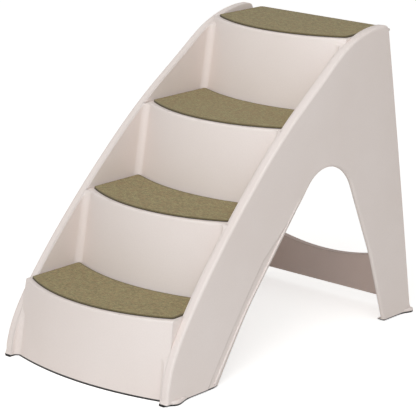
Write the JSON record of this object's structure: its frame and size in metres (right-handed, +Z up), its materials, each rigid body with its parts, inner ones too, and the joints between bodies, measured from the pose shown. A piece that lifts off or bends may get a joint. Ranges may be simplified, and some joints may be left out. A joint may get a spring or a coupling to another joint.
{
  "type": "pet stairs",
  "caption": "Free-standing moulded pet stairs with bowed carpeted treads between two leaning arched side panels and a low rear crossbar.",
  "frame": {"origin": "on the floor, under the middle of the overall length and width", "axes": "+Z up, -Y towards the animal at the foot of the stairs, +X to the right as seen from the front; the stairs are the same left and right"},
  "size_m": [0.4434, 0.807, 0.6217],
  "materials": {
    "shell_plastic": "fine satin grain",
    "mat_carpet": "needle-punched pile",
    "foot_rubber": "matte",
    "fastening_strip": "hook tape",
    "screw_steel": "zinc plated"
  },
  "bodies": {
    "stairs": {"left_side_panel": "shell_plastic", "right_side_panel": "shell_plastic", "rear_crossbar": "shell_plastic", "rear_crossbar_screws": "screw_steel", "front_edge_strip": "foot_rubber", "front_left_foot_pad": "foot_rubber", "front_right_foot_pad": "foot_rubber", "rear_left_foot_pad": "foot_rubber", "rear_right_foot_pad": "foot_rubber", "bottom_step": "shell_plastic", "bottom_step_screws": "screw_steel", "bottom_mat_strips": "fastening_strip", "second_step": "shell_plastic", "second_step_screws": "screw_steel", "second_mat_strips": "fastening_strip", "third_step": "shell_plastic", "third_step_screws": "screw_steel", "third_mat_strips": "fastening_strip", "top_step": "shell_plastic", "top_step_screws": "screw_steel", "top_mat_strips": "fastening_strip"},
    "bottom_mat": {"bottom_tread_mat": "mat_carpet"},
    "second_mat": {"second_tread_mat": "mat_carpet"},
    "third_mat": {"third_tread_mat": "mat_carpet"},
    "top_mat": {"top_tread_mat": "mat_carpet"}
  },
  "joints": [
    {"name": "bottom_mat_lift_off", "type": "slide", "parent": "stairs", "child": "bottom_mat", "axis": [0, -0.9781, 0.2079], "range_m": [0, 0.2]},
    {"name": "second_mat_lift_off", "type": "slide", "parent": "stairs", "child": "second_mat", "axis": [0, -0.9781, 0.2079], "range_m": [0, 0.2]},
    {"name": "third_mat_lift_off", "type": "slide", "parent": "stairs", "child": "third_mat", "axis": [0, -0.9781, 0.2079], "range_m": [0, 0.2]},
    {"name": "top_mat_lift_off", "type": "slide", "parent": "stairs", "child": "top_mat", "axis": [0, -0.9781, 0.2079], "range_m": [0, 0.2]}
  ]
}
